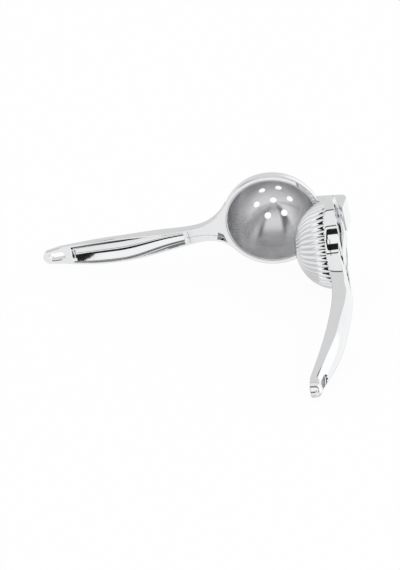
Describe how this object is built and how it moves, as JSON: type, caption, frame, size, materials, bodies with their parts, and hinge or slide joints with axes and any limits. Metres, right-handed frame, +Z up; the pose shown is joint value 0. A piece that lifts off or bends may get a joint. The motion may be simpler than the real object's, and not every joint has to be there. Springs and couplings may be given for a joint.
{
  "type": "hinged lemon squeezer",
  "caption": "Hinged hand squeezer: a fluted dome on one arm presses half a lemon into a pierced bowl on the other.",
  "frame": {"origin": "on the table, under the middle of the object's box as it lies open on its side", "axes": "+Z up from the table; the fixed handle points towards -X, the bowl's mouth and the swung arm face -Y, and the hinge is at the +X end"},
  "size_m": [0.2264, 0.244, 0.071],
  "materials": {
    "cast_chrome": "bright plated, mirror smooth",
    "satin_steel": "satin, turned grain",
    "pin_steel": "ground"
  },
  "bodies": {
    "lower": {"lower_arm": "cast_chrome", "strainer_cup": "satin_steel", "hinge_pin": "pin_steel"},
    "upper": {"upper_arm": "cast_chrome", "press_dome": "cast_chrome"}
  },
  "joints": [
    {"name": "hinge", "type": "hinge", "parent": "lower", "child": "upper", "pos_m": [0.09775, 0.0892, 0.04306], "axis": [-0.1798, -0.1711, 0.9687], "range_deg": [-85, 0]}
  ]
}
